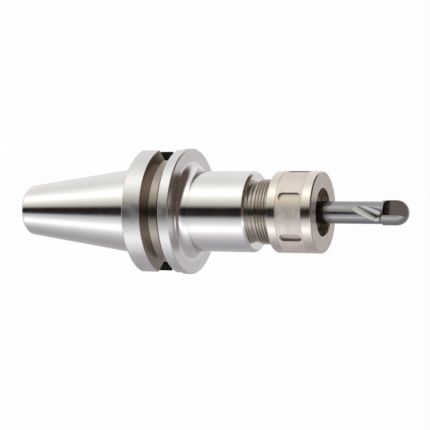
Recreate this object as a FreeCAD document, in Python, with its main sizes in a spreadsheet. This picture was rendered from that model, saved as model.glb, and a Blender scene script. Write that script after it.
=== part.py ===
"""Collet chuck tool holder with a 7/24 taper, a ball-bearing clamping nut, a slit collet
and a two-flute ball-nose cutter.

The holder stands on the small end of its taper. Z is the spindle axis, and it points from
the small end to the cutter's tip. X runs through the middle of the two drive-key slots.
All sizes are in millimetres.
"""
import FreeCAD, Part
import math
import os
import re
import Sketcher

doc = FreeCAD.newDocument("collet_chuck_holder")

# ---------------------------------------------------------------- driving dimensions

SIZES = {
    # 7/24 taper, from the small end to the gauge line
    "gauge_dia": 44.45,
    "taper_length": 65.4,
    "taper_rise": 7,
    "taper_run": 24,
    "small_chamfer": 1.0,
    "undercut_depth": 0.5,
    "undercut_width": 1.6,
    # flange with its gripper groove and two drive-key slots
    "flange_gap": 2.0,
    "flange_dia": 63.0,
    "flange_thick": 25.0,
    "rim_chamfer": 0.5,
    "grip_centre": 14.6,
    "grip_mouth": 10.0,
    "grip_floor_dia": 53.0,
    "grip_half_angle": 30.0,
    "grip_edge": 0.3,
    "key_width": 16.1,
    "key_floor": 22.6,
    "key_length": 22.0,
    # cylindrical body, its shoulder and the threaded nose
    "body_dia": 40.0,
    "body_length": 34.5,
    "root_fillet": 5.0,
    "shoulder_chamfer": 1.2,
    "relief_dia": 29.2,
    "relief_length": 2.3,
    "thread_dia": 32.0,
    "thread_depth": 0.92,
    "nose_length": 22.7,
    # bores behind the collet
    "pilot_dia": 17.0,
    "pilot_depth": 7.0,
    "pilot_chamfer": 0.5,
    "stud_bore_dia": 13.84,
    "stud_bore_depth": 40.0,
    "coolant_dia": 8.0,
    "shank_room": 0.6,
    "shank_end_room": 6.0,
    # slit collet
    "collet_dia": 25.4,
    "collet_half_angle": 4.0,
    "collet_length": 50.0,
    "collet_stand_out": 1.9,
    "latch_dia": 22.6,
    "latch_width": 2.0,
    "cone_dia": 24.6,
    "cone_half_angle": 30.0,
    "cone_length": 2.94,
    "collet_edge": 0.4,
    "slit_width": 0.9,
    "slit_count": 6,
    "slit_land": 9.0,
    # clamping nut
    "nut_gap": 11.1,
    "nut_dia": 40.0,
    "nut_length": 22.8,
    "nut_chamfer": 0.6,
    "nut_mouth_dia": 23.4,
    "nut_mouth_chamfer": 0.3,
    "nut_wall": 2.4,
    "nut_lead": 1.0,
    "spanner_count": 6,
    "spanner_width": 4.2,
    "spanner_length": 11.2,
    "spanner_depth": 1.5,
    "spanner_rear": 5.9,
    "nut_angle": 8.6,
    # ball thrust bearing inside the nut
    "ball_dia": 2.5,
    "ball_count": 24,
    "race_radius": 1.29,
    "race_depth": 0.55,
    "ring_dia": 31.4,
    "race_inset": 1.7,
    "collar_gap": 0.2,
    "collar_play": 0.35,
    "latch_play": 0.25,
    "mouth_play": 0.3,
    "snap_thick": 1.0,
    "snap_width": 2.0,
    "snap_seat": 1.2,
    "snap_play": 0.1,
    "snap_open_angle": 28.0,
    # cutter
    "shank_dia": 12.0,
    "cutter_length": 110.0,
    "stick_out": 42.3,
    "neck_dia": 10.8,
    "neck_length": 40.0,
    "neck_step": 0.3,
    "head_dia": 12.0,
    "head_length": 12.7,
    "shank_chamfer": 0.5,
    "helix_lead": 62.0,
    "flute_length": 26.0,
    "flute_core": 3.1,
    "flute_round": 2.0,
    "flute_back_angle": 62.0,
    "flute_angle": 20.0,
    # running clearances, on the radius
    "socket_play": 0.05,
    "shank_play": 0.03,
    "thread_play": 0.05,
    "ring_play": 0.1,
    "seat_play": 0.05,
    "ball_play": 0.03,
}

sheet = doc.addObject("Spreadsheet::Sheet", "Sizes")
for row, (size_name, size_value) in enumerate(SIZES.items(), start=1):
    sheet.set(f"A{row}", size_name)
    sheet.set(f"B{row}", str(size_value))
    sheet.setAlias(f"B{row}", size_name)
doc.recompute()

# Every size name holds an underscore, so it can be told from a function or a unit.
SIZE_NAME = re.compile(r"[a-z]+(?:_[a-z]+)+")


def cells(expression):
    """The expression with each size name turned into its cell of the sheet."""
    return SIZE_NAME.sub(lambda name: "Sizes." + name.group(0), str(expression))


def number(expression):
    """The present value of an expression of sizes."""
    return float(sheet.evalExpression(cells(expression)))


# ---------------------------------------------------------------- levels along the axis

TAPER_SLOPE = "(taper_rise / taper_run / 2)"
FLANGE_REAR = "(taper_length + flange_gap)"
FLANGE_FRONT = f"({FLANGE_REAR} + flange_thick)"
GRIP_LEVEL = f"({FLANGE_REAR} + grip_centre)"
BODY_FRONT = f"({FLANGE_FRONT} + body_length)"
THREAD_START = f"({BODY_FRONT} + relief_length)"
NOSE_FRONT = f"({BODY_FRONT} + nose_length)"

COLLET_SHOULDER = f"({NOSE_FRONT} + collet_stand_out)"
LATCH_FRONT = f"({COLLET_SHOULDER} + latch_width)"
COLLET_FRONT = f"({LATCH_FRONT} + cone_length)"
COLLET_REAR = f"({COLLET_FRONT} - collet_length)"
COLLET_SLOPE = "tan(collet_half_angle * 1 deg)"
CONE_SLOPE = "tan(cone_half_angle * 1 deg)"

NUT_REAR = f"({BODY_FRONT} + nut_gap)"
NUT_FRONT = f"({NUT_REAR} + nut_length)"
NUT_WALL_REAR = f"({NUT_FRONT} - nut_wall)"
BALL_CIRCLE = "(ring_dia / 2 - race_inset)"
RACE_GAP = "(ball_dia - 2 * race_depth + 2 * ball_play)"
RING_FRONT = f"({NUT_WALL_REAR} - {RACE_GAP})"
RING_REAR = f"({COLLET_SHOULDER} + latch_play)"
BALL_LEVEL = f"({NUT_WALL_REAR} - {RACE_GAP} / 2)"
SNAP_FRONT = f"({RING_REAR} - snap_play)"
SNAP_REAR = f"({SNAP_FRONT} - snap_thick)"

CUTTER_TIP = f"({NUT_FRONT} + stick_out)"
CUTTER_REAR = f"({CUTTER_TIP} - cutter_length)"
BALL_NOSE = f"({CUTTER_TIP} - head_dia / 2)"
HEAD_REAR = f"({CUTTER_TIP} - head_length)"
NECK_REAR = f"({HEAD_REAR} - neck_length)"
SHANK_FLOOR = f"({CUTTER_REAR} - shank_end_room)"


def taper_radius(level):
    """Radius of the 7/24 taper at a level."""
    return f"(gauge_dia / 2 - {TAPER_SLOPE} * (taper_length - {level}))"


def collet_radius(level):
    """Radius of the collet's long taper at a level."""
    return f"(collet_dia / 2 - {COLLET_SLOPE} * ({COLLET_SHOULDER} - {level}))"


def socket_radius(level):
    """Radius of the holder's collet socket at a level."""
    return f"({collet_radius(level)} + socket_play)"


# ---------------------------------------------------------------- sketch and feature helpers


def new_body(name):
    body = doc.addObject("PartDesign::Body", name)
    body.Label = name
    body.Placement = FreeCAD.Placement()
    return body


def origin_feature(body, role):
    """One of the body's own origin planes or axes."""
    return next(item for item in body.Origin.OriginFeatures if item.Role == role)


def new_sketch(body, name, plane):
    sketch = body.newObject("Sketcher::SketchObject", name)
    sketch.AttachmentSupport = [(origin_feature(body, plane), "")]
    sketch.MapMode = "FlatFace"
    return sketch


def bind(sketch, constraint, name, expression):
    """Add a constraint and bind its value to the sheet."""
    index = sketch.addConstraint(constraint)
    sketch.renameConstraint(index, name)
    sketch.setExpression("Constraints." + name, cells(expression))


def fix_point(sketch, geometry, point, name, across, along):
    """Hold one point of a sketch at two expressions. An expression of 0 means on the axis."""
    for kind, axis, expression, tag in (
        ("DistanceX", -2, across, "across"),
        ("DistanceY", -1, along, "along"),
    ):
        if str(expression) == "0":
            sketch.addConstraint(Sketcher.Constraint("PointOnObject", geometry, point, axis))
        else:
            value = number(expression)
            constraint = Sketcher.Constraint(kind, -1, 1, geometry, point, value)
            bind(sketch, constraint, f"{name}_{tag}", expression)


def outline(body, name, plane, corners, round_after=None):
    """A closed outline of straight sides. The side after corner round_after is an arc about
    the sketch's upright axis."""
    sketch = new_sketch(body, name, plane)
    places = [FreeCAD.Vector(number(across), number(along), 0) for across, along in corners]
    count = len(corners)
    for side in range(count):
        start = places[side]
        end = places[(side + 1) % count]
        if side == round_after:
            centre = FreeCAD.Vector(0, start.y, 0)
            circle = Part.Circle(centre, FreeCAD.Vector(0, 0, 1), start.x)
            sketch.addGeometry(Part.ArcOfCircle(circle, 0, math.pi / 2), False)
            sketch.addConstraint(Sketcher.Constraint("PointOnObject", side, 3, -2))
        else:
            sketch.addGeometry(Part.LineSegment(start, end), False)
    for side in range(count):
        following = (side + 1) % count
        sketch.addConstraint(Sketcher.Constraint("Coincident", side, 2, following, 1))
    for side, (across, along) in enumerate(corners):
        fix_point(sketch, side, 1, f"corner{side}", across, along)
    return sketch


def round_hole(body, name, plane, across, along, radius):
    """A circle held by its centre and radius."""
    sketch = new_sketch(body, name, plane)
    centre = FreeCAD.Vector(number(across), number(along), 0)
    sketch.addGeometry(Part.Circle(centre, FreeCAD.Vector(0, 0, 1), number(radius)), False)
    fix_point(sketch, 0, 3, "centre", across, along)
    bind(sketch, Sketcher.Constraint("Radius", 0, number(radius)), "radius", radius)
    return sketch


def turn(body, name, sketch, kind="PartDesign::Revolution"):
    """Revolve a sketch about the spindle axis, adding or cutting."""
    feature = body.newObject(kind, name)
    feature.Profile = sketch
    feature.ReferenceAxis = (sketch, ["V_Axis"])
    feature.Angle = 360
    return feature


def turned(body, name, corners, kind="PartDesign::Revolution", round_after=None):
    sketch = outline(body, name + "_outline", "XZ_Plane", corners, round_after)
    return turn(body, name, sketch, kind)


def cut_up(body, name, sketch, length):
    """Cut from the sketch's plane along its normal."""
    pocket = body.newObject("PartDesign::Pocket", name)
    pocket.Profile = sketch
    pocket.Reversed = True
    pocket.setExpression("Length", cells(length))
    return pocket


def repeat_round(body, name, feature, count):
    """Repeat a cut evenly about the spindle axis."""
    pattern = body.newObject("PartDesign::PolarPattern", name)
    pattern.Originals = [feature]
    pattern.Axis = (origin_feature(body, "Z_Axis"), [""])
    pattern.Angle = 360
    pattern.setExpression("Occurrences", cells(count))
    body.Tip = pattern
    return pattern


def ring_edge(feature, radius, level):
    """Name of the circular edge with this radius at this level."""
    for index, edge in enumerate(feature.Shape.Edges, start=1):
        curve = edge.Curve
        if isinstance(curve, Part.Circle):
            same_radius = abs(curve.Radius - radius) < 1e-4
            if same_radius and abs(curve.Center.z - level) < 1e-4:
                return f"Edge{index}"
    raise ValueError(f"no round edge of radius {radius} at {level}")


# ---------------------------------------------------------------- holder


def make_holder():
    """One ground piece: 7/24 taper, flange, cylindrical body and threaded nose. The nose is
    plain, at the thread's crest diameter."""
    body = new_body("holder_body")
    undercut = f"({taper_radius('taper_length')} - undercut_depth)"
    undercut_rear = f"({FLANGE_REAR} - undercut_width)"
    thread_root = "(thread_dia / 2 - thread_depth)"
    blank = turned(body, "blank", [
        ("0", "0"),
        (f"{taper_radius('small_chamfer')} - small_chamfer", "0"),
        (taper_radius("small_chamfer"), "small_chamfer"),
        (taper_radius(undercut_rear), undercut_rear),
        (undercut, f"{undercut_rear} + undercut_depth"),
        (undercut, FLANGE_REAR),
        ("flange_dia / 2 - rim_chamfer", FLANGE_REAR),
        ("flange_dia / 2", f"{FLANGE_REAR} + rim_chamfer"),
        ("flange_dia / 2", f"{FLANGE_FRONT} - rim_chamfer"),
        ("flange_dia / 2 - rim_chamfer", FLANGE_FRONT),
        ("body_dia / 2", FLANGE_FRONT),
        ("body_dia / 2", f"{BODY_FRONT} - shoulder_chamfer"),
        ("body_dia / 2 - shoulder_chamfer", BODY_FRONT),
        ("relief_dia / 2", BODY_FRONT),
        ("relief_dia / 2", THREAD_START),
        (thread_root, THREAD_START),
        ("thread_dia / 2", f"{THREAD_START} + thread_depth"),
        ("thread_dia / 2", f"{NOSE_FRONT} - thread_depth"),
        (thread_root, NOSE_FRONT),
        ("0", NOSE_FRONT),
    ])
    doc.recompute()
    fillet = body.newObject("PartDesign::Fillet", "flange_root")
    corner = ring_edge(blank, number("body_dia / 2"), number(FLANGE_FRONT))
    fillet.Base = (blank, [corner])
    fillet.setExpression("Radius", cells("root_fillet"))

    mouth_edge = f"({GRIP_LEVEL} %s (grip_mouth / 2 %s grip_edge))"
    floor_half = "(grip_mouth / 2 - (flange_dia - grip_floor_dia) / 2 * tan(grip_half_angle * 1 deg))"
    lip_half = "(grip_mouth / 2 - grip_edge * tan(grip_half_angle * 1 deg))"
    turned(body, "gripper_groove", [
        ("grip_floor_dia / 2", f"{GRIP_LEVEL} - {floor_half}"),
        ("flange_dia / 2 - grip_edge", f"{GRIP_LEVEL} - {lip_half}"),
        ("flange_dia / 2 + grip_edge", mouth_edge % ("-", "+")),
        ("flange_dia / 2 + grip_edge", mouth_edge % ("+", "+")),
        ("flange_dia / 2 - grip_edge", f"{GRIP_LEVEL} + {lip_half}"),
        ("grip_floor_dia / 2", f"{GRIP_LEVEL} + {floor_half}"),
    ], kind="PartDesign::Groove")

    key_sketch = outline(body, "key_outline", "XY_Plane", [
        ("key_floor", "-key_width / 2"),
        ("flange_dia / 2 + rim_chamfer", "-key_width / 2"),
        ("flange_dia / 2 + rim_chamfer", "key_width / 2"),
        ("key_floor", "key_width / 2"),
    ])
    key = cut_up(body, "drive_key_slot", key_sketch, f"{FLANGE_REAR} + key_length")
    repeat_round(body, "drive_key_slots", key, "2")

    turned(body, "through_bore", [
        ("0", "0"),
        ("pilot_dia / 2 + pilot_chamfer", "0"),
        ("pilot_dia / 2", "pilot_chamfer"),
        ("pilot_dia / 2", "pilot_depth"),
        ("stud_bore_dia / 2", "pilot_depth"),
        ("stud_bore_dia / 2", "stud_bore_depth"),
        ("coolant_dia / 2", "stud_bore_depth"),
        ("coolant_dia / 2", SHANK_FLOOR),
        ("shank_dia / 2 + shank_room", SHANK_FLOOR),
        ("shank_dia / 2 + shank_room", f"{COLLET_REAR} - slit_width"),
        (socket_radius(f"({COLLET_REAR} - slit_width)"), f"{COLLET_REAR} - slit_width"),
        (socket_radius(NOSE_FRONT), NOSE_FRONT),
        ("0", NOSE_FRONT),
    ], kind="PartDesign::Groove")
    return body


# ---------------------------------------------------------------- collet


def make_collet():
    """Spring collet: long taper, latch groove, front cone, and slits from both ends."""
    body = new_body("collet")
    bore = "(shank_dia / 2 + shank_play)"
    face = f"(cone_dia / 2 - {CONE_SLOPE} * cone_length)"
    turned(body, "collet_blank", [
        (bore, f"{COLLET_REAR} + collet_edge"),
        (f"{bore} + collet_edge", COLLET_REAR),
        (f"{collet_radius(COLLET_REAR)} - collet_edge", COLLET_REAR),
        (collet_radius(f"({COLLET_REAR} + collet_edge)"), f"{COLLET_REAR} + collet_edge"),
        ("collet_dia / 2", COLLET_SHOULDER),
        ("latch_dia / 2", COLLET_SHOULDER),
        ("latch_dia / 2", LATCH_FRONT),
        ("cone_dia / 2", LATCH_FRONT),
        (face, COLLET_FRONT),
        (f"{bore} + collet_edge", COLLET_FRONT),
        (bore, f"{COLLET_FRONT} - collet_edge"),
    ])
    outside = "collet_dia / 2 + collet_edge"
    front_slit = outline(body, "front_slit_outline", "XZ_Plane", [
        ("slit_width", f"{COLLET_REAR} + slit_land"),
        (outside, f"{COLLET_REAR} + slit_land"),
        (outside, f"{COLLET_FRONT} + collet_edge"),
        ("slit_width", f"{COLLET_FRONT} + collet_edge"),
    ])
    rear_slit = outline(body, "rear_slit_outline", "XZ_Plane", [
        ("slit_width", f"{COLLET_REAR} - collet_edge"),
        (outside, f"{COLLET_REAR} - collet_edge"),
        (outside, f"{COLLET_FRONT} - slit_land"),
        ("slit_width", f"{COLLET_FRONT} - slit_land"),
    ])
    rear_slit.AttachmentOffset = FreeCAD.Placement(
        FreeCAD.Vector(0, 0, 0), FreeCAD.Rotation(FreeCAD.Vector(0, 1, 0), 30))
    rear_slit.setExpression("AttachmentOffset.Rotation.Angle", cells("180 deg / slit_count"))
    for name, sketch in (("front_slit", front_slit), ("rear_slit", rear_slit)):
        slit = body.newObject("PartDesign::Pocket", name)
        slit.Profile = sketch
        slit.SideType = "Symmetric"
        slit.setExpression("Length", cells("slit_width"))
        repeat_round(body, name + "s", slit, "slit_count")
    return body


# ---------------------------------------------------------------- clamping nut and its bearing


def make_nut():
    """Clamping nut: threaded skirt, front wall with the ball race, six spanner slots."""
    body = new_body("clamping_nut")
    thread_bore = "(thread_dia / 2 + thread_play)"
    ring_bore = "(ring_dia / 2 + ring_play)"
    snap_groove = f"({thread_bore} + snap_seat)"
    turned(body, "nut_blank", [
        (thread_bore, f"{NUT_REAR} + nut_lead"),
        (f"{thread_bore} + nut_lead", NUT_REAR),
        ("nut_dia / 2 - nut_chamfer", NUT_REAR),
        ("nut_dia / 2", f"{NUT_REAR} + nut_chamfer"),
        ("nut_dia / 2", f"{NUT_FRONT} - nut_chamfer"),
        ("nut_dia / 2 - nut_chamfer", NUT_FRONT),
        ("nut_mouth_dia / 2 + nut_mouth_chamfer", NUT_FRONT),
        ("nut_mouth_dia / 2", f"{NUT_FRONT} - nut_mouth_chamfer"),
        ("nut_mouth_dia / 2", NUT_WALL_REAR),
        (ring_bore, NUT_WALL_REAR),
        (ring_bore, f"{SNAP_FRONT} + snap_play / 2"),
        (snap_groove, f"{SNAP_FRONT} + snap_play / 2"),
        (snap_groove, f"{SNAP_REAR} - snap_play / 2"),
        (thread_bore, f"{SNAP_REAR} - snap_play / 2"),
    ])
    race = round_hole(body, "nut_race_outline", "XZ_Plane",
                      BALL_CIRCLE, BALL_LEVEL, "race_radius")
    turn(body, "nut_race", race, "PartDesign::Groove")

    slot = new_sketch(body, "spanner_outline", "YZ_Plane")
    slot.AttachmentOffset = FreeCAD.Placement(FreeCAD.Vector(0, 0, 1), FreeCAD.Rotation())
    slot.setExpression("AttachmentOffset.Base.z", cells("nut_dia / 2 - spanner_depth"))
    radius = number("spanner_width / 2")
    low = number(f"{NUT_REAR} + spanner_rear") + radius
    high = low + number("spanner_length") - 2 * radius
    upright = FreeCAD.Vector(0, 0, 1)
    low_round = Part.Circle(FreeCAD.Vector(0, low, 0), upright, radius)
    high_round = Part.Circle(FreeCAD.Vector(0, high, 0), upright, radius)
    slot.addGeometry([
        Part.ArcOfCircle(low_round, math.pi, 2 * math.pi),
        Part.LineSegment(FreeCAD.Vector(radius, low, 0), FreeCAD.Vector(radius, high, 0)),
        Part.ArcOfCircle(high_round, 0, math.pi),
        Part.LineSegment(FreeCAD.Vector(-radius, high, 0), FreeCAD.Vector(-radius, low, 0)),
    ], False)
    for side in range(4):
        following = (side + 1) % 4
        slot.addConstraint(Sketcher.Constraint("Tangent", side, 2, following, 1))
    slot.addConstraint(Sketcher.Constraint("PointOnObject", 0, 3, -2))
    slot.addConstraint(Sketcher.Constraint("PointOnObject", 2, 3, -2))
    bind(slot, Sketcher.Constraint("Radius", 0, radius), "end_radius", "spanner_width / 2")
    bind(slot, Sketcher.Constraint("DistanceY", -1, 1, 0, 3, low), "low_end",
         f"{NUT_REAR} + spanner_rear + spanner_width / 2")
    bind(slot, Sketcher.Constraint("DistanceY", 0, 3, 2, 3, high - low), "reach",
         "spanner_length - spanner_width")
    cut = cut_up(body, "spanner_slot", slot, "spanner_depth + nut_chamfer")
    repeat_round(body, "spanner_slots", cut, "spanner_count")
    body.Placement = FreeCAD.Placement(
        FreeCAD.Vector(0, 0, 0), FreeCAD.Rotation(FreeCAD.Vector(0, 0, 1), 1))
    body.setExpression("Placement.Rotation.Angle", cells("nut_angle * 1 deg"))
    return body


def make_thrust_ring():
    """Inner ring of the bearing nut: it presses on the collet's cone and latches in its groove."""
    body = new_body("thrust_ring")
    lip = "(latch_dia / 2 + latch_play)"
    seat = "(cone_dia / 2 + seat_play)"
    face = f"(cone_dia / 2 - {CONE_SLOPE} * cone_length)"
    mouth = f"({face} + mouth_play)"
    mouth_level = f"({LATCH_FRONT} + ({seat} - {mouth}) / {CONE_SLOPE})"
    collar = f"({BALL_CIRCLE} - ball_dia / 2 - collar_play)"
    collar_front = f"({NUT_WALL_REAR} - collar_gap)"
    turned(body, "ring_blank", [
        (lip, RING_REAR),
        ("ring_dia / 2", RING_REAR),
        ("ring_dia / 2", RING_FRONT),
        (collar, RING_FRONT),
        (collar, collar_front),
        (mouth, collar_front),
        (mouth, mouth_level),
        (seat, LATCH_FRONT),
        (seat, f"{LATCH_FRONT} - latch_play"),
        (lip, f"{LATCH_FRONT} - latch_play"),
    ])
    race = round_hole(body, "ring_race_outline", "XZ_Plane",
                      BALL_CIRCLE, BALL_LEVEL, "race_radius")
    turn(body, "ring_race", race, "PartDesign::Groove")
    return body


def make_snap_ring():
    """Open wire ring in the nut that carries the thrust ring when the nut is loosened."""
    body = new_body("snap_ring")
    outer = "(thread_dia / 2 + thread_play + snap_seat - snap_play)"
    section = outline(body, "snap_section", "XZ_Plane", [
        (f"{outer} - snap_width", SNAP_REAR),
        (outer, SNAP_REAR),
        (outer, SNAP_FRONT),
        (f"{outer} - snap_width", SNAP_FRONT),
    ])
    ring = turn(body, "snap_wire", section)
    ring.setExpression("Angle", cells("360 deg - snap_open_angle * 1 deg"))
    return body


def make_balls():
    """The bearing's balls, evenly round the race."""
    count = round(number("ball_count"))
    radius = number("ball_dia / 2")
    circle = number(BALL_CIRCLE)
    level = number(BALL_LEVEL)
    balls = []
    for index in range(count):
        ball = doc.addObject("Part::Sphere", f"bearing_ball_{index + 1:02d}")
        ball.Label = ball.Name
        angle = 2 * math.pi * index / count
        place = FreeCAD.Vector(circle * math.cos(angle), circle * math.sin(angle), level)
        ball.Radius = radius
        ball.Placement = FreeCAD.Placement(place, FreeCAD.Rotation())
        ball.setExpression("Radius", cells("ball_dia / 2"))
        turn_to = f"{index} * 360 deg / ball_count"
        ball.setExpression("Placement.Base.x", cells(f"{BALL_CIRCLE} * cos({turn_to})"))
        ball.setExpression("Placement.Base.y", cells(f"{BALL_CIRCLE} * sin({turn_to})"))
        ball.setExpression("Placement.Base.z", cells(BALL_LEVEL))
        balls.append(ball)
    return balls


# ---------------------------------------------------------------- cutter

# Sections of one flute from its run-out on the neck to just past the tip: how far along the
# flute each lies, and how far it stands off the core, as a share of the head's radius.
FLUTE_SECTIONS = (
    (0.00, 0.62),
    (0.10, 0.34),
    (0.22, 0.12),
    (0.38, 0.00),
    (0.55, 0.00),
    (0.72, -0.08),
    (0.88, -0.26),
    (1.04, -0.46),
)


def flute_section(body, index, share, stand_off):
    """One section of the gullet: a straight rake face, a round root and a sloping back."""
    sketch = new_sketch(body, f"flute_section_{index}", "XY_Plane")
    root = number("flute_core + flute_round")
    radius = number("flute_round")
    reach = number("head_dia")
    slope = math.radians(number("flute_back_angle"))
    rake_foot = FreeCAD.Vector(root, radius, 0)
    back_foot = FreeCAD.Vector(root - radius * math.sin(slope), -radius * math.cos(slope), 0)
    run = (reach - back_foot.x) / math.cos(slope)
    back_end = FreeCAD.Vector(reach, back_foot.y - run * math.sin(slope), 0)
    rake_end = FreeCAD.Vector(reach, radius, 0)
    centre = Part.Circle(FreeCAD.Vector(root, 0, 0), FreeCAD.Vector(0, 0, 1), radius)
    sketch.addGeometry([
        Part.LineSegment(rake_end, rake_foot),
        Part.ArcOfCircle(centre, math.pi / 2, 3 * math.pi / 2 - slope),
        Part.LineSegment(back_foot, back_end),
        Part.LineSegment(back_end, rake_end),
    ], False)
    sketch.addConstraint(Sketcher.Constraint("Tangent", 0, 2, 1, 1))
    sketch.addConstraint(Sketcher.Constraint("Tangent", 1, 2, 2, 1))
    sketch.addConstraint(Sketcher.Constraint("Coincident", 2, 2, 3, 1))
    sketch.addConstraint(Sketcher.Constraint("Coincident", 3, 2, 0, 1))
    sketch.addConstraint(Sketcher.Constraint("Horizontal", 0))
    sketch.addConstraint(Sketcher.Constraint("Vertical", 3))
    sketch.addConstraint(Sketcher.Constraint("PointOnObject", 1, 3, -1))
    bind(sketch, Sketcher.Constraint("Radius", 1, radius), "root_radius", "flute_round")
    bind(sketch, Sketcher.Constraint("DistanceX", -1, 1, 1, 3, root), "root_centre",
         "flute_core + flute_round")
    bind(sketch, Sketcher.Constraint("DistanceX", -1, 1, 3, 2, reach), "reach", "head_dia")
    bind(sketch, Sketcher.Constraint("Angle", 2, 1, -1, 1, slope), "back_angle",
         "flute_back_angle * 1 deg")
    turn_to = f"(({share} - 1) * flute_length / helix_lead * 360 deg + flute_angle * 1 deg)"
    sketch.AttachmentOffset = FreeCAD.Placement(
        FreeCAD.Vector(0, 0, 1), FreeCAD.Rotation(FreeCAD.Vector(0, 0, 1), 1))
    sketch.setExpression("AttachmentOffset.Rotation.Angle", cells(turn_to))
    off = f"{stand_off} * head_dia / 2"
    sketch.setExpression("AttachmentOffset.Base.x", cells(f"{off} * cos({turn_to})"))
    sketch.setExpression("AttachmentOffset.Base.y", cells(f"{off} * sin({turn_to})"))
    sketch.setExpression("AttachmentOffset.Base.z",
                         cells(f"{CUTTER_TIP} + ({share} - 1) * flute_length"))
    return sketch


def make_cutter():
    """Ball-nose end mill: shank, relieved neck, head, and two twisted flutes."""
    body = new_body("ball_nose_cutter")
    turned(body, "cutter_blank", [
        ("0", CUTTER_REAR),
        ("shank_dia / 2 - shank_chamfer", CUTTER_REAR),
        ("shank_dia / 2", f"{CUTTER_REAR} + shank_chamfer"),
        ("shank_dia / 2", f"{NECK_REAR} - neck_step"),
        ("neck_dia / 2", NECK_REAR),
        ("neck_dia / 2", HEAD_REAR),
        ("head_dia / 2", f"{HEAD_REAR} + neck_step"),
        ("head_dia / 2", BALL_NOSE),
        ("0", CUTTER_TIP),
    ], round_after=7)
    sections = [
        flute_section(body, index, share, stand_off)
        for index, (share, stand_off) in enumerate(FLUTE_SECTIONS)
    ]
    flute = body.newObject("PartDesign::SubtractiveLoft", "flute")
    flute.Profile = sections[0]
    flute.Sections = sections[1:]
    flute.Ruled = False
    repeat_round(body, "flutes", flute, "2")
    return body


# ---------------------------------------------------------------- the whole holder

pieces = [
    make_holder(),
    make_collet(),
    make_nut(),
    make_thrust_ring(),
    make_snap_ring(),
    make_cutter(),
]
pieces += make_balls()
doc.recompute()

for item in doc.Objects:
    if "Invalid" in item.State or "Error" in item.State:
        raise RuntimeError(f"{item.Name} failed: {item.State}")
for piece in pieces:
    shape = piece.Shape
    if shape.isNull() or not shape.isValid() or len(shape.Solids) != 1:
        raise RuntimeError(f"{piece.Label} is not one valid solid")

os.makedirs("parts", exist_ok=True)
for piece in pieces:
    piece.Shape.exportStep(f"parts/{piece.Label}.step")
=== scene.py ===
import math

import bmesh
import bpy
from mathutils import Matrix, Vector


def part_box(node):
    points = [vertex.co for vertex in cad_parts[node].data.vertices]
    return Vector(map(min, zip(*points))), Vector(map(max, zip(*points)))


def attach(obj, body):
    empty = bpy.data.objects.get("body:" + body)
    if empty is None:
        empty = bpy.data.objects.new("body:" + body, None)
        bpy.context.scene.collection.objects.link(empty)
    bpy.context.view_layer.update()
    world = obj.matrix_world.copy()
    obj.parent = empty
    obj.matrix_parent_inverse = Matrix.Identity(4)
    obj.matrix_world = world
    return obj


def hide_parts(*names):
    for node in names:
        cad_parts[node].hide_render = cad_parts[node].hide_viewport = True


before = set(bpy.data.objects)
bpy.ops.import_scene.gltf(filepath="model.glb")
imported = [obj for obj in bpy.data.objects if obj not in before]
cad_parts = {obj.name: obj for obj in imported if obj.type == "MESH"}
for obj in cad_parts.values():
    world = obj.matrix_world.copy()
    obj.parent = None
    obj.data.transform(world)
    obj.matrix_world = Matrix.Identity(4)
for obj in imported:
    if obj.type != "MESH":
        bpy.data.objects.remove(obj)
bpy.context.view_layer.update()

MM = 0.001

# ---------------------------------------------------------------- sizes and levels, in millimetres

holder_low, holder_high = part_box("holder_body")
nut_low, nut_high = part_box("clamping_nut")
cutter_low, cutter_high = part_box("ball_nose_cutter")

NOSE_FRONT = holder_high.z / MM
FLANGE_RADIUS = holder_high.y / MM
NUT_REAR = nut_low.z / MM
NUT_FRONT = nut_high.z / MM
NUT_RADIUS = nut_high.y / MM
CUTTER_REAR = cutter_low.z / MM
CUTTER_TIP = cutter_high.z / MM

# Small edges, the play for telling neighbouring faces apart, and the sides of a full turn
EDGE = 0.5
HAIR = 0.05
BROAD_SIDES = 216
SLIM_SIDES = 96

# Taper and flange
SMALL_END_CHAMFER = 1.0
TAPER_LARGE = 65.4
TAPER_END = 65.8
GAUGE_RADIUS = 22.225
TAPER_SLOPE = 7 / 48
UNDERCUT_START = 66.3
UNDERCUT_RADIUS = GAUGE_RADIUS - 0.5
FLANGE_REAR = 67.4
FLANGE_FRONT = 92.4
GROOVE_LEVEL = 82.0
GROOVE_HALF_MOUTH = 5.0
GROOVE_FLOOR = 26.5
GROOVE_HALF_FLOOR = 2.113
KEY_HALF_WIDTH = 8.05
KEY_FLOOR = 22.6
KEY_END = 89.4

# Body, nose and bores
BODY_RADIUS = 20.0
BODY_FRONT = 126.9
BODY_CHAMFER = 1.2
ROOT_FILLET = 5.0
RELIEF_RADIUS = 14.6
THREAD_START = 129.2
THREAD_CORE = 15.08
THREAD_CREST = 16.0
THREAD_PITCH = 1.5
THREAD_HALF_FOOT = 0.66
THREAD_HALF_CREST = 0.12
THREAD_RUN_IN = 0.4
THREAD_RUN_OUT = 0.3
PILOT_RADIUS = 8.5
PILOT_DEPTH = 7.0
STUD_CORE = 6.92
STUD_MAJOR = 8.0
STUD_PITCH = 2.0
STUD_HALF_FOOT = 0.93
STUD_HALF_CREST = 0.16
STUD_RUN_IN = 1.0
STUD_RUN_OUT = 4.0
STUD_DEPTH = 40.0
COOLANT_RADIUS = 4.0
SHANK_ROOM_RADIUS = 6.6
SHANK_FLOOR = 87.1
SOCKET_REAR = 105.54
SOCKET_REAR_RADIUS = 9.54
SOCKET_FRONT_RADIUS = 12.617
RIDGE_SINK = 0.08

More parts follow.
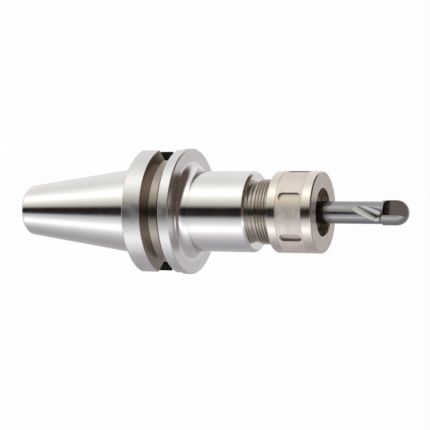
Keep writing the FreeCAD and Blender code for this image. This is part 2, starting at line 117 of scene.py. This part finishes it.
# Clamping nut, with the room for its bearing
NUT_BORE = 16.05
NUT_LEAD = 1.0
NUT_CHAMFER = 0.6
BELT_REAR = 4.8
BELT_FRONT = 17.7
BELT_DEPTH = 0.07
LINE_DEPTH = 0.2
LINE_HALF_WIDTH = 0.12
MOUTH_RADIUS = 11.7
MOUTH_CHAMFER = 0.3
MOUTH_WALL = 2.4
RACE_CREST = 1.83
RACE_CORNERS = (12.85, 13.3, 14.7, 15.15)
RING_ROOM_RADIUS = 15.8
SNAP_GROOVE_RADIUS = 17.25
SNAP_GROOVE_REAR = 150.6
SNAP_GROOVE_FRONT = 151.7
SPANNER_COUNT = 6
SPANNER_REAR = 5.9
SPANNER_LENGTH = 11.2
SPANNER_WIDTH = 4.2
SPANNER_DEPTH = 1.5
NUT_ANGLE = 8.6

# Cutter
SHANK_RADIUS = 6.0
SHANK_CHAMFER = 0.5
NECK_RADIUS = 5.4
NECK_REAR = 150.4
NECK_STEP = 0.3
HEAD_REAR = 190.4
HEAD_STEP = 0.35
DOME_STEP = 5
FLUTE_REAR_RADIUS = 3.6
FLUTE_FRONT_RADIUS = 4.45
FLUTE_LENGTH = 16.0
FLUTE_ROUNDING = 2.6
FLUTE_LEAN = -24
FLUTE_TILT = 7
FLUTE_CENTRE = (0.45, 7.68, 183.65)
WEB = 1.5
GASH_SIZE = (9.5, 10.0, 18.0)
GASH_CORNER = 4.5
GASH_SHIFT = 2.2
GASH_DROP = 2.5
GASH_LEAN = -14

# ---------------------------------------------------------------- mesh helpers


def new_piece(name, mesh_maker, body):
    """Turn a bmesh into a piece of the object that rides on a body."""
    mesh = bpy.data.meshes.new(name)
    mesh_maker.to_mesh(mesh)
    mesh_maker.free()
    piece = bpy.data.objects.new(name, mesh)
    bpy.context.scene.collection.objects.link(piece)
    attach(piece, body)
    return piece


def block(size):
    """A box round the origin."""
    maker = bmesh.new()
    bmesh.ops.create_cube(maker, size=1)
    bmesh.ops.scale(maker, vec=Vector(size) * MM, verts=maker.verts)
    return maker


def move(maker, by):
    bmesh.ops.translate(maker, vec=Vector(by) * MM, verts=maker.verts)
    return maker


def swing(maker, degrees, axis="Z"):
    """Turn a shape about a main axis through the origin."""
    bmesh.ops.rotate(maker, cent=(0, 0, 0), verts=maker.verts,
                     matrix=Matrix.Rotation(math.radians(degrees), 3, axis))
    return maker


def round_off(maker, corners, size, segments, affect="EDGES"):
    """Bevel edges or corners into rounds."""
    bmesh.ops.bevel(maker, geom=corners, offset=size * MM, offset_type="OFFSET",
                    segments=segments, profile=0.5, affect=affect, material=-1)


def outline_face(maker, corners):
    """A flat face in the XZ plane from (radius, level) or (radius, level, rounding) corners;
    the roundings are made by bevelling its corners."""
    verts = [maker.verts.new((c[0] * MM, 0, c[1] * MM)) for c in corners]
    maker.faces.new(verts)
    sizes = sorted({c[2] for c in corners if len(c) > 2})
    for size in sizes:
        chosen = [v for v, c in zip(verts, corners) if len(c) > 2 and c[2] == size]
        round_off(maker, chosen, size, 6 if size > 1 else 2, "VERTICES")


def close_up(maker, sharp_above=40):
    """Merge the seam and the poles, point the faces outwards and keep real edges crisp."""
    bmesh.ops.remove_doubles(maker, verts=maker.verts, dist=1e-7)
    bmesh.ops.dissolve_degenerate(maker, edges=maker.edges, dist=1e-8)
    bmesh.ops.recalc_face_normals(maker, faces=maker.faces)
    for face in maker.faces:
        face.smooth = True
    for edge in maker.edges:
        if len(edge.link_faces) == 2:
            edge.smooth = edge.calc_face_angle() < math.radians(sharp_above)


def turned(corners, steps):
    """A closed turned shape from its half outline."""
    maker = bmesh.new()
    outline_face(maker, corners)
    bmesh.ops.delete(maker, geom=maker.faces[:], context="FACES_ONLY")
    bmesh.ops.spin(maker, geom=maker.verts[:] + maker.edges[:], cent=(0, 0, 0), axis=(0, 0, 1),
                   dvec=(0, 0, 0), angle=2 * math.pi, steps=steps, use_merge=True)
    close_up(maker)
    return maker


def helix_ridge(foot, crest, pitch, start, end, half_foot, half_crest, steps):
    """A thread's ridge: its section is spun about the axis and moved on by one pitch a turn."""
    maker = bmesh.new()
    outline_face(maker, [
        (foot, start - half_foot), (crest, start - half_crest),
        (crest, start + half_crest), (foot, start + half_foot)])
    count = int((end - start) / pitch * steps)
    bmesh.ops.spin(maker, geom=maker.verts[:] + maker.edges[:] + maker.faces[:],
                   cent=(0, 0, 0), axis=(0, 0, 1), dvec=(0, 0, pitch * MM / steps),
                   angle=2 * math.pi * count / steps, steps=count)
    close_up(maker, 25)
    return maker


def carve(piece, finish, *makers):
    """Cut closed shapes out of a piece; the faces that they leave get the finish."""
    tools = []
    for maker in makers:
        mesh = bpy.data.meshes.new("cut")
        maker.to_mesh(mesh)
        maker.free()
        mesh.materials.append(finish)
        tool = bpy.data.objects.new("cut", mesh)
        bpy.context.scene.collection.objects.link(tool)
        cut = piece.modifiers.new("cut", "BOOLEAN")
        cut.operation = "DIFFERENCE"
        cut.solver = "EXACT"
        cut.material_mode = "TRANSFER"
        cut.object = tool
        tools.append(tool)
    bpy.context.view_layer.update()
    graph = bpy.context.evaluated_depsgraph_get()
    mesh = bpy.data.meshes.new_from_object(piece.evaluated_get(graph))
    piece.modifiers.clear()
    piece.data = mesh
    for tool in tools:
        bpy.data.objects.remove(tool)
    maker = bmesh.new()
    maker.from_mesh(mesh)
    close_up(maker)
    maker.to_mesh(mesh)
    maker.free()


def paint(piece, finish, where):
    """Give the faces whose centre (radius, level) in millimetres passes the test a finish."""
    mesh = piece.data
    mesh.materials.append(finish)
    index = len(mesh.materials) - 1
    for face in mesh.polygons:
        centre = face.center
        if where(math.hypot(centre.x, centre.y) / MM, centre.z / MM):
            face.material_index = index


def even_shading(piece):
    """Broad faces keep their own direction, so that only the small roundings look curved."""
    modifier = piece.modifiers.new("even_shading", "WEIGHTED_NORMAL")
    modifier.keep_sharp = True
    modifier.weight = 80


# ---------------------------------------------------------------- shader helpers


class Wire:
    """A shader socket that takes part in sums; each expression adds its Math nodes."""

    def __init__(self, board, socket):
        self.board = board
        self.socket = socket

    def math(self, operation, *others):
        sockets = {0: self}
        sockets.update({i + 1: other for i, other in enumerate(others)})
        return self.board.node("ShaderNodeMath", {"operation": operation}, sockets)

    def __add__(self, other):
        return self.math("ADD", other)

    __radd__ = __add__

    def __sub__(self, other):
        return self.math("SUBTRACT", other)

    def __rsub__(self, other):
        return self.board.node("ShaderNodeMath", {"operation": "SUBTRACT"}, {0: other, 1: self})

    def __mul__(self, other):
        return self.math("MULTIPLY", other)

    __rmul__ = __mul__

    def __truediv__(self, other):
        return self.math("DIVIDE", other)


class Board:
    """The node tree of a material or of the world."""

    def __init__(self, owner):
        owner.use_nodes = True
        self.owner = owner
        self.tree = owner.node_tree
        self.tree.nodes.clear()

    def node(self, kind, settings=None, sockets=None, output=0):
        """Add a node: its settings first, then the values or links of its sockets."""
        made = self.tree.nodes.new(kind)
        for key, value in (settings or {}).items():
            if key == "stops":
                ramp = made.color_ramp
                while len(ramp.elements) < len(value):
                    ramp.elements.new(0.5)
                for element, (place, colour) in zip(ramp.elements, value):
                    element.position = place
                    element.color = (*colour, 1)
            else:
                setattr(made, key, value)
        for key, value in (sockets or {}).items():
            if isinstance(value, Wire):
                self.tree.links.new(value.socket, made.inputs[key])
            else:
                made.inputs[key].default_value = value
        return Wire(self, made.outputs[output]) if made.outputs else None

    def blend(self, share, first, second):
        """Mix two colours."""
        return self.node("ShaderNodeMix", {"data_type": "RGBA"},
                         {0: share, 6: first, 7: second}, output=2)

    def smooth(self, value, low, high):
        """0 below low, 1 above high, eased between."""
        return self.node("ShaderNodeMapRange", {"interpolation_type": "SMOOTHSTEP"},
                         {0: value, 1: low, 2: high, 3: 0.0, 4: 1.0})

    def split(self, vector):
        """The three parts of a vector."""
        source = self.node("ShaderNodeSeparateXYZ", None, {0: vector}).socket.node
        return [Wire(self, source.outputs[i]) for i in range(3)]

    def noise(self, vector, scale, detail, rough):
        return self.node("ShaderNodeTexNoise", None,
                         {"Vector": vector, "Scale": scale, "Detail": detail, "Roughness": rough})


# ---------------------------------------------------------------- finishes


def steel(name, colour, roughness, marks, mark_depth, mottle, mottle_size, grain=0.0):
    """Ground or turned metal. marks is the spacing of the turning marks in millimetres, mottle
    how far the tone drifts over mottle_size millimetres, and grain the size of a fine tooth."""
    board = Board(bpy.data.materials.new(name))
    vector = board.node("ShaderNodeTexCoord", output=3)
    x, y, z = board.split(vector)
    radius = (x * x + y * y).math("SQRT")
    mark_length = 9 * MM
    line = board.node("ShaderNodeCombineXYZ", None,
                      {0: radius / (marks * MM) + x / mark_length, 1: y / mark_length,
                       2: z / (marks * MM)})
    rings = board.noise(line, 0.6, 3.0, 0.6)
    cloud = board.noise(vector, 1 / (mottle_size * MM), 3.0, 0.55)
    drift = board.smooth(cloud, 0.3, 0.7)
    dark = tuple(c * (1 - 2 * mottle) for c in colour)
    tone = board.blend(drift * 0.6 + rings * 0.4, (*dark, 1), (*colour, 1))
    height = rings
    if grain:
        height = rings + board.noise(vector, 1 / (grain * MM), 2.0, 0.6) * 2.0
    bump = board.node("ShaderNodeBump", None,
                      {"Strength": mark_depth, "Distance": 0.02 * MM, "Height": height})
    finish = board.node("ShaderNodeBsdfPrincipled", None, {
        "Base Color": tone, "Metallic": 1.0, "Normal": bump,
        "Roughness": (rings - 0.5) * (roughness * 0.5) + (drift - 0.5) * (roughness * 0.25)
        + roughness})
    board.node("ShaderNodeOutputMaterial", None, {"Surface": finish})
    return board.owner


ground_steel = steel("ground_steel", (0.74, 0.73, 0.715), 0.13, 0.3, 0.3, 0.03, 12.0)
rim_steel = steel("rim_steel", (0.72, 0.71, 0.70), 0.34, 0.4, 0.5, 0.05, 5.0)
face_steel = steel("face_steel", (0.70, 0.685, 0.67), 0.3, 0.35, 0.5, 0.06, 8.0)
# Painted shade: a dark brown copy of the steel for the V groove, standing in for the shade in it
groove_painted_shade = steel("groove_painted_shade", (0.36, 0.31, 0.265), 0.22, 0.35, 0.5, 0.08, 6.0)
# Painted shade: a darker brownish copy of the steel for the thread and relief in the gap between
# body and nut
thread_painted_shade = steel("thread_painted_shade", (0.48, 0.43, 0.375), 0.2, 0.3, 0.4, 0.08, 3.0)
# Painted shade: a near-black copy of the steel for the undercut and the key slots, standing in for
# the shade in these recesses
recess_painted_shade = steel("recess_painted_shade", (0.045, 0.040, 0.036), 0.55, 0.5, 0.6, 0.2, 3.0)
# Painted shade: a dark copy of the steel for the bores, standing in for the shade inside them
bore_painted_shade = steel("bore_painted_shade", (0.30, 0.275, 0.25), 0.4, 0.5, 0.5, 0.12, 5.0)
nut_band_steel = steel("nut_band_steel", (0.74, 0.675, 0.62), 0.17, 0.3, 0.35, 0.05, 7.0)
nut_belt_steel = steel("nut_belt_steel", (0.80, 0.725, 0.665), 0.55, 0.8, 0.5, 0.05, 5.0, 0.25)
nut_face_steel = steel("nut_face_steel", (0.70, 0.62, 0.56), 0.4, 0.4, 0.6, 0.09, 3.0)
slot_steel = steel("slot_steel", (0.62, 0.54, 0.48), 0.36, 0.4, 0.5, 0.1, 2.0)
# Painted shade: the collet is coloured dark brown for the shade inside the nut's mouth
collet_steel = steel("collet_steel", (0.36, 0.31, 0.265), 0.32, 0.35, 0.4, 0.12, 3.0)
# Bronze tone with painted shade: the ring's colour is also darkened for the shade inside the nut's
# mouth
ring_steel = steel("ring_steel", (0.52, 0.43, 0.36), 0.26, 0.3, 0.4, 0.1, 3.0)
ball_steel = steel("ball_steel", (0.72, 0.72, 0.72), 0.08, 0.4, 0.05, 0.02, 2.0)
blued_steel = steel("blued_steel", (0.16, 0.15, 0.16), 0.3, 0.4, 0.3, 0.1, 2.0)
carbide = steel("carbide", (0.31, 0.31, 0.315), 0.2, 0.3, 0.35, 0.06, 4.0)
# Painted highlight: a lighter copy of the carbide for the flutes, standing in for their bright
# reflection
flute_painted_highlight = steel("flute_painted_highlight", (0.44, 0.43, 0.43), 0.22, 0.25, 0.4, 0.06, 3.0)
# Painted shade: a dark copy of the carbide for the gashes, standing in for the shade on them
gash_painted_shade = steel("gash_painted_shade", (0.15, 0.13, 0.125), 0.3, 0.25, 0.5, 0.12, 2.0)

# ---------------------------------------------------------------- holder


def taper_radius(level):
    return GAUGE_RADIUS - TAPER_SLOPE * (TAPER_LARGE - level)


def holder_shape():
    """The taper, the grooved flange, the body and the nose, with all the bores."""
    return turned([
        (PILOT_RADIUS + EDGE, 0),
        (taper_radius(SMALL_END_CHAMFER) - SMALL_END_CHAMFER, 0, 0.15),
        (taper_radius(SMALL_END_CHAMFER), SMALL_END_CHAMFER, 0.3),
        (taper_radius(TAPER_END), TAPER_END),
        (UNDERCUT_RADIUS, UNDERCUT_START),
        (UNDERCUT_RADIUS, FLANGE_REAR),
        (FLANGE_RADIUS - EDGE, FLANGE_REAR, 0.1),
        (FLANGE_RADIUS, FLANGE_REAR + EDGE, 0.1),
        (FLANGE_RADIUS, GROOVE_LEVEL - GROOVE_HALF_MOUTH, 0.2),
        (GROOVE_FLOOR, GROOVE_LEVEL - GROOVE_HALF_FLOOR, 0.4),
        (GROOVE_FLOOR, GROOVE_LEVEL + GROOVE_HALF_FLOOR, 0.4),
        (FLANGE_RADIUS, GROOVE_LEVEL + GROOVE_HALF_MOUTH, 0.2),
        (FLANGE_RADIUS, FLANGE_FRONT - EDGE, 0.1),
        (FLANGE_RADIUS - EDGE, FLANGE_FRONT, 0.1),
        (BODY_RADIUS, FLANGE_FRONT, ROOT_FILLET),
        (BODY_RADIUS, BODY_FRONT - BODY_CHAMFER, 0.2),
        (BODY_RADIUS - BODY_CHAMFER, BODY_FRONT, 0.2),
        (RELIEF_RADIUS, BODY_FRONT, 0.4),
        (RELIEF_RADIUS, THREAD_START - (THREAD_CORE - RELIEF_RADIUS), 0.15),
        (THREAD_CORE, THREAD_START),
        (THREAD_CORE, NOSE_FRONT, 0.1),
        (SOCKET_FRONT_RADIUS, NOSE_FRONT, 0.1),
        (SOCKET_REAR_RADIUS, SOCKET_REAR),
        (SHANK_ROOM_RADIUS, SOCKET_REAR),
        (SHANK_ROOM_RADIUS, SHANK_FLOOR),
        (COOLANT_RADIUS, SHANK_FLOOR),
        (COOLANT_RADIUS, STUD_DEPTH),
        (STUD_MAJOR, STUD_DEPTH),
        (STUD_MAJOR, PILOT_DEPTH),
        (PILOT_RADIUS, PILOT_DEPTH),
        (PILOT_RADIUS, EDGE),
    ], BROAD_SIDES)


def key_tool(side):
    """A block that mills one drive-key slot from the flange's rear, blind at the front."""
    depth, length = 12, 24
    return move(block((depth, 2 * KEY_HALF_WIDTH, length)),
                (side * (KEY_FLOOR + depth / 2), 0, KEY_END - length / 2))


holder = new_piece("holder", holder_shape(), "holder")
holder.data.materials.append(ground_steel)
paint(holder, rim_steel,
      lambda r, z: r > FLANGE_RADIUS - 0.9 and FLANGE_REAR < z < FLANGE_FRONT)
paint(holder, face_steel,
      lambda r, z: r > BODY_RADIUS + ROOT_FILLET + 0.1 and z > FLANGE_FRONT - 0.01)
# Painted shade: the V groove's walls and floor are coloured dark brown
paint(holder, groove_painted_shade,
      lambda r, z: GROOVE_FLOOR - 0.5 < r < FLANGE_RADIUS - HAIR
      and abs(z - GROOVE_LEVEL) < GROOVE_HALF_MOUTH - HAIR)
# Painted shade: the relief and thread between body and nut are coloured darker
paint(holder, thread_painted_shade,
      lambda r, z: r < THREAD_CREST + 0.1 and z > BODY_FRONT + HAIR)
# Painted shade: the undercut between taper and flange is coloured near black
paint(holder, recess_painted_shade,
      lambda r, z: r < GAUGE_RADIUS + 0.4 and UNDERCUT_START - HAIR < z < FLANGE_REAR + 0.01)
# Painted shade: the pilot, stud and socket bores are coloured dark
paint(holder, bore_painted_shade,
      lambda r, z: r < PILOT_RADIUS + 0.6 and z < SOCKET_REAR + HAIR
      or r < SOCKET_FRONT_RADIUS + HAIR and z > SOCKET_REAR - HAIR)
# Painted shade: the key slots' faces take the near-black colour
carve(holder, recess_painted_shade, key_tool(1), key_tool(-1))
even_shading(holder)
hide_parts("holder_body")


def nose_thread_shape():
    """The nose's thread, its crests chamfered and its ends kept inside the nose."""
    maker = helix_ridge(THREAD_CORE - RIDGE_SINK, THREAD_CREST, THREAD_PITCH,
                        THREAD_START - THREAD_RUN_IN,
                        NOSE_FRONT - THREAD_RUN_OUT, THREAD_HALF_FOOT, THREAD_HALF_CREST, 72)
    for vert in maker.verts:
        level = vert.co.z / MM
        reach = math.hypot(vert.co.x, vert.co.y) / MM
        chamfer = THREAD_CORE + min(level - THREAD_START + 0.1, NOSE_FRONT - level - HAIR)
        limit = max(min(chamfer, THREAD_CREST), RELIEF_RADIUS - 0.2)
        if reach > limit:
            vert.co.x *= limit / reach
            vert.co.y *= limit / reach
        vert.co.z = min(vert.co.z, (NOSE_FRONT - 0.02) * MM)
    return maker


nose_thread = new_piece("nose_thread", nose_thread_shape(), "holder")
# Painted shade: the nose's thread is coloured darker
nose_thread.data.materials.append(thread_painted_shade)

stud_thread = new_piece("stud_thread", helix_ridge(
    STUD_MAJOR + RIDGE_SINK, STUD_CORE, STUD_PITCH, PILOT_DEPTH + STUD_RUN_IN,
    STUD_DEPTH - STUD_RUN_OUT, STUD_HALF_FOOT, STUD_HALF_CREST, 48), "holder")
# Painted shade: the stud's thread inside the bore is coloured dark
stud_thread.data.materials.append(bore_painted_shade)

# ---------------------------------------------------------------- clamping nut

line_rear = NUT_REAR + BELT_REAR
line_front = NUT_REAR + BELT_FRONT


def nut_shape():
    """The nut: two bright bands with a belt between fine lines, and the bearing's room."""
    belt_radius = NUT_RADIUS - BELT_DEPTH
    inside = NUT_FRONT - MOUTH_WALL
    race = NUT_FRONT - RACE_CREST
    return turned([
        (NUT_BORE, NUT_REAR + NUT_LEAD),
        (NUT_BORE + NUT_LEAD, NUT_REAR, 0.1),
        (NUT_RADIUS - NUT_CHAMFER, NUT_REAR, 0.25),
        (NUT_RADIUS, NUT_REAR + NUT_CHAMFER, 0.25),
        (NUT_RADIUS, line_rear - LINE_HALF_WIDTH),
        (NUT_RADIUS - LINE_DEPTH, line_rear),
        (belt_radius, line_rear + LINE_HALF_WIDTH),
        (belt_radius, line_front - LINE_HALF_WIDTH),
        (NUT_RADIUS - LINE_DEPTH, line_front),
        (NUT_RADIUS, line_front + LINE_HALF_WIDTH),
        (NUT_RADIUS, NUT_FRONT - NUT_CHAMFER, 0.15),
        (NUT_RADIUS - NUT_CHAMFER, NUT_FRONT, 0.15),
        (MOUTH_RADIUS + MOUTH_CHAMFER, NUT_FRONT, 0.12),
        (MOUTH_RADIUS, NUT_FRONT - MOUTH_CHAMFER, 0.12),
        (MOUTH_RADIUS, inside),
        (RACE_CORNERS[0], inside),
        (RACE_CORNERS[1], race),
        (RACE_CORNERS[2], race),
        (RACE_CORNERS[3], inside),
        (RING_ROOM_RADIUS, inside),
        (RING_ROOM_RADIUS, SNAP_GROOVE_FRONT),
        (SNAP_GROOVE_RADIUS, SNAP_GROOVE_FRONT),
        (SNAP_GROOVE_RADIUS, SNAP_GROOVE_REAR),
        (NUT_BORE, SNAP_GROOVE_REAR),
    ], BROAD_SIDES)


def slot_tool(angle):
    """A round-ended block that cuts one spanner slot."""
    height = SPANNER_DEPTH + 1
    maker = block((height, SPANNER_WIDTH, SPANNER_LENGTH))
    ends = [e for e in maker.edges if abs(e.verts[0].co.x - e.verts[1].co.x) > HAIR * MM]
    round_off(maker, ends, SPANNER_WIDTH * 0.497, 10)
    move(maker, (NUT_RADIUS - SPANNER_DEPTH + height / 2, 0,
                 NUT_REAR + SPANNER_REAR + SPANNER_LENGTH / 2))
    return swing(maker, angle)


nut = new_piece("nut", nut_shape(), "nut")
nut.data.materials.append(nut_band_steel)
paint(nut, nut_belt_steel, lambda r, z: r > NUT_RADIUS - 2 and line_rear < z < line_front)
paint(nut, nut_face_steel, lambda r, z: z > NUT_FRONT - 0.02)
# Bronze tone with painted shade: the nut's bore and bearing room are coloured darker
paint(nut, ring_steel,
      lambda r, z: r < SNAP_GROOVE_RADIUS + HAIR and z < NUT_FRONT - MOUTH_CHAMFER - HAIR)
carve(nut, slot_steel, *[slot_tool(NUT_ANGLE + 360 / SPANNER_COUNT * slot)
                         for slot in range(SPANNER_COUNT)])
even_shading(nut)
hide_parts("clamping_nut")

# ---------------------------------------------------------------- ball-nose cutter


def cutter_shape():
    """The shank, the slimmer neck and the head with its ball."""
    centre = CUTTER_TIP - SHANK_RADIUS
    dome = [(SHANK_RADIUS * math.cos(math.radians(angle)),
             centre + SHANK_RADIUS * math.sin(math.radians(angle)))
            for angle in range(0, 90, DOME_STEP)]
    return turned([
        (0, CUTTER_REAR),
        (SHANK_RADIUS - SHANK_CHAMFER, CUTTER_REAR, 0.1),
        (SHANK_RADIUS, CUTTER_REAR + SHANK_CHAMFER, 0.1),
        (SHANK_RADIUS, NECK_REAR - NECK_STEP),
        (NECK_RADIUS, NECK_REAR),
        (NECK_RADIUS, HEAD_REAR),
        (SHANK_RADIUS, HEAD_REAR + HEAD_STEP, 0.1),
        *dome,
        (0, CUTTER_TIP),
    ], SLIM_SIDES)


def flute_tool(angle):
    """A leaning roller that leaves a lens-shaped flute on the neck."""
    maker = bmesh.new()
    bmesh.ops.create_cone(maker, cap_ends=True, segments=64, radius1=FLUTE_REAR_RADIUS * MM,
                          radius2=FLUTE_FRONT_RADIUS * MM, depth=FLUTE_LENGTH * MM)
    rim = [e for e in maker.edges if all(v.co.z > 0 for v in e.verts)]
    round_off(maker, rim, FLUTE_ROUNDING, 6)
    swing(maker, FLUTE_LEAN, "Y")
    swing(maker, FLUTE_TILT, "X")
    move(maker, FLUTE_CENTRE)
    return swing(maker, angle)


def gash_tool(angle):
    """A block that opens the ball in front of one cutting edge, down to the web."""
    maker = block(GASH_SIZE)
    corner = [e for e in maker.edges if all(v.co.z < 0 and v.co.y < 0 for v in e.verts)]
    round_off(maker, corner, GASH_CORNER, 8)
    move(maker, (GASH_SHIFT, GASH_SIZE[1] / 2 + WEB, CUTTER_TIP - GASH_DROP))
    return swing(maker, angle + GASH_LEAN)


cutter = new_piece("cutter", cutter_shape(), "cutter")
cutter.data.materials.append(carbide)
# Painted highlight: the flutes' faces take the lighter carbide
carve(cutter, flute_painted_highlight, flute_tool(0), flute_tool(180))
# Painted shade: the gashes' faces take the dark carbide
carve(cutter, gash_painted_shade, gash_tool(0), gash_tool(180))
even_shading(cutter)
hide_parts("ball_nose_cutter")

# ---------------------------------------------------------------- pieces kept from the frame


def finish_node(name, finish):
    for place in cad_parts[name].material_slots:
        place.material = finish


# Painted shade: the collet inside the nut's mouth is coloured dark brown
finish_node("collet", collet_steel)
# Bronze tone with painted shade: the thrust ring inside the nut's mouth is coloured darker
finish_node("thrust_ring", ring_steel)
finish_node("snap_ring", blued_steel)
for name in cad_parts:
    if name.startswith("bearing_ball"):
        finish_node(name, ball_steel)

# ---------------------------------------------------------------- studio


def pale_finish():
    """A floor that mostly glows, so that only faint shadows show on it."""
    board = Board(bpy.data.materials.new("pale_floor"))
    seen = board.node("ShaderNodeLightPath")
    paper = board.node("ShaderNodeBsdfDiffuse", None, {"Color": (0.86, 0.86, 0.86, 1)})
    glow = board.node("ShaderNodeEmission", None, {"Color": (1, 1, 1, 1), "Strength": 1.02})
    mixed = board.node("ShaderNodeMixShader", None, {0: seen * 0.93, 1: paper, 2: glow})
    board.node("ShaderNodeOutputMaterial", None, {"Surface": mixed})
    return board.owner


ground = bmesh.new()
bmesh.ops.create_grid(ground, x_segments=1, y_segments=1, size=3.0)
move(ground, (0, 0, holder_low.z / MM - HAIR))
ground_mesh = bpy.data.meshes.new("floor")
ground.to_mesh(ground_mesh)
ground.free()
floor = bpy.data.objects.new("floor", ground_mesh)
bpy.context.scene.collection.objects.link(floor)
floor.visible_glossy = False
floor.data.materials.append(pale_finish())


def azimuth(degrees):
    """A direction round the axis as a place on a ramp, 0 at the viewer's side."""
    return 0.5 + degrees / 360


def surroundings():
    """What the steel mirrors: pale all round with a narrow dark gap on the viewer's side, a
    like one behind that only the faces that look down mirror, and a brown card over the nose."""
    studio = bpy.data.worlds.new("studio")
    board = Board(studio)
    side, near, high = board.split(board.node("ShaderNodeTexCoord", output=0))
    heading = side.math("ARCTAN2", near) / (2 * math.pi) + 0.5
    around = board.node("ShaderNodeValToRGB", {"stops": [
        (azimuth(-180), (0.86, 0.85, 0.86)),
        (azimuth(-160), (0.56, 0.54, 0.56)),
        (azimuth(-116), (0.46, 0.44, 0.47)),
        (azimuth(-90), (0.60, 0.59, 0.62)),
        (azimuth(-72), (0.92, 0.91, 0.95)),
        (azimuth(-52), (1.60, 1.60, 1.62)),
        (azimuth(-34), (0.95, 0.97, 1.00)),
        (azimuth(-22), (0.62, 0.64, 0.67)),
        (azimuth(-13), (0.035, 0.028, 0.026)),
        (azimuth(9), (0.010, 0.006, 0.006)),
        (azimuth(18), (0.62, 0.60, 0.54)),
        (azimuth(34), (1.05, 1.04, 0.97)),
        (azimuth(54), (1.65, 1.65, 1.62)),
        (azimuth(76), (1.15, 1.15, 1.13)),
        (azimuth(92), (0.95, 0.95, 0.94)),
        (azimuth(130), (1.02, 1.01, 1.01)),
        (azimuth(180), (0.86, 0.85, 0.86)),
    ]}, {0: heading})
    card = Vector((0.45, -0.10, 0.85)).normalized()
    facing = side * card.x + near * card.y + high * card.z
    behind = (board.smooth((heading - 0.5).math("ABSOLUTE"), 0.466, 0.488)
              * board.smooth(high * -1.0, 0.0, 0.15))
    around = board.blend(behind, around, (0.03, 0.025, 0.024, 1))
    surround = board.blend(board.smooth(facing, 0.52, 0.80), around, (0.125, 0.09, 0.072, 1))
    shown = board.blend(board.node("ShaderNodeLightPath"), surround, (1, 1, 1, 1))
    sky = board.node("ShaderNodeBackground", None, {"Color": shown, "Strength": 1.0})
    board.node("ShaderNodeOutputWorld", None, {"Surface": sky})
    return studio


bpy.context.scene.world = surroundings()

lamp = bpy.data.lights.new("overhead", "AREA")
lamp.size = 0.8
lamp.energy = 5.0
overhead = bpy.data.objects.new("overhead", lamp)
bpy.context.scene.collection.objects.link(overhead)
overhead.location = (0.25, 0.2, 1.1)
overhead.rotation_euler = (-overhead.location).to_track_quat("-Z", "Y").to_euler()
overhead.visible_glossy = False

# ---------------------------------------------------------------- camera

# The camera lies on its side, so that the axis runs from left to right
LOOK_DOWN = 0.397
ROLL = -0.009
DISTANCE = 675.45
AIM = Vector((0, 0, 85.4))
AIM_RIGHT = -17.2
AIM_UP = 1.92
SENSOR_WIDTH = 36
FOCAL_LENGTH = 112.16

right = Vector((-math.sin(ROLL), -math.sin(LOOK_DOWN) * math.cos(ROLL),
                math.cos(LOOK_DOWN) * math.cos(ROLL)))
up = Vector((math.cos(ROLL), -math.sin(LOOK_DOWN) * math.sin(ROLL),
             math.cos(LOOK_DOWN) * math.sin(ROLL)))
ahead = Vector((0, -math.cos(LOOK_DOWN), -math.sin(LOOK_DOWN)))
eye = (AIM - ahead * DISTANCE - right * AIM_RIGHT - up * AIM_UP) * MM
lens = bpy.data.cameras.new("camera")
lens.sensor_width = SENSOR_WIDTH
lens.lens = FOCAL_LENGTH
lens.clip_start = 0.01
camera = bpy.data.objects.new("camera", lens)
bpy.context.scene.collection.objects.link(camera)
camera.matrix_world = Matrix.Translation(eye) @ Matrix((right, up, -ahead)).transposed().to_4x4()
bpy.context.scene.camera = camera
bpy.context.scene.view_settings.view_transform = "Standard"
